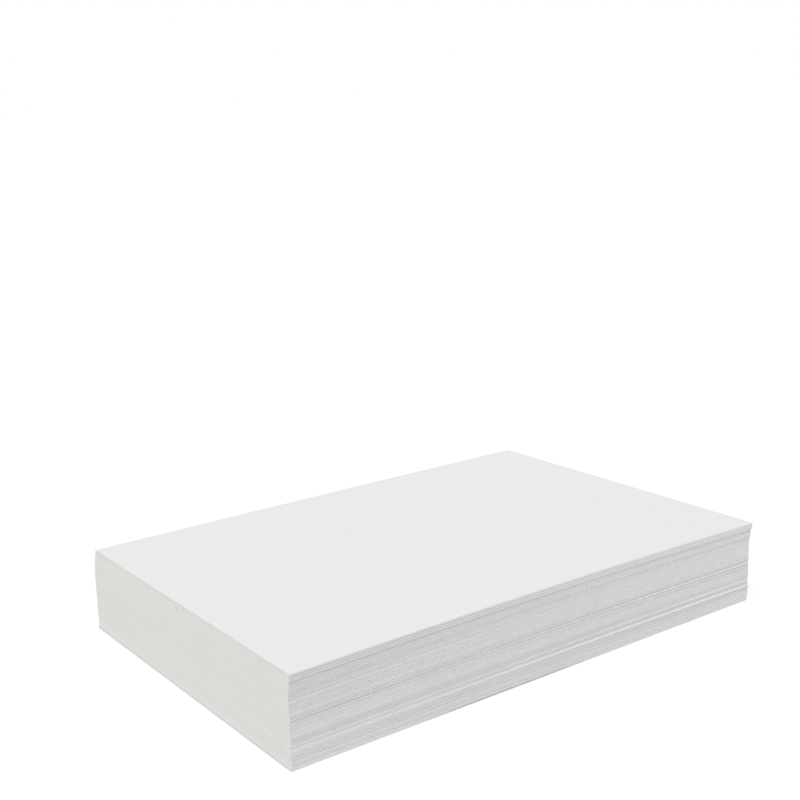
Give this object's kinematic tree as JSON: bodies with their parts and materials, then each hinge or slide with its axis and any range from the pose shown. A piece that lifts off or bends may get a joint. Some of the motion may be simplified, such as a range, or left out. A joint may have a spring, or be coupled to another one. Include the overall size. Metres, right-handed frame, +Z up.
{
  "type": "ream of paper",
  "caption": "Ream of white A4 copy paper out of its wrapper: one stack of loose sheets whose handfuls are knocked slightly out of line.",
  "frame": {"origin": "middle of the stack's footprint, on its underside", "axes": "+X along the page width, +Y along the page length, +Z up through the stack"},
  "size_m": [0.213, 0.2991, 0.0474],
  "materials": {
    "paper": "matt uncoated white"
  },
  "bodies": {
    "root": {"lift_01": "paper", "lift_02": "paper", "lift_03": "paper", "lift_04": "paper", "lift_05": "paper", "lift_06": "paper", "lift_07": "paper", "lift_08": "paper", "lift_09": "paper", "lift_10": "paper", "lift_11": "paper", "lift_12": "paper"}
  },
  "joints": []
}
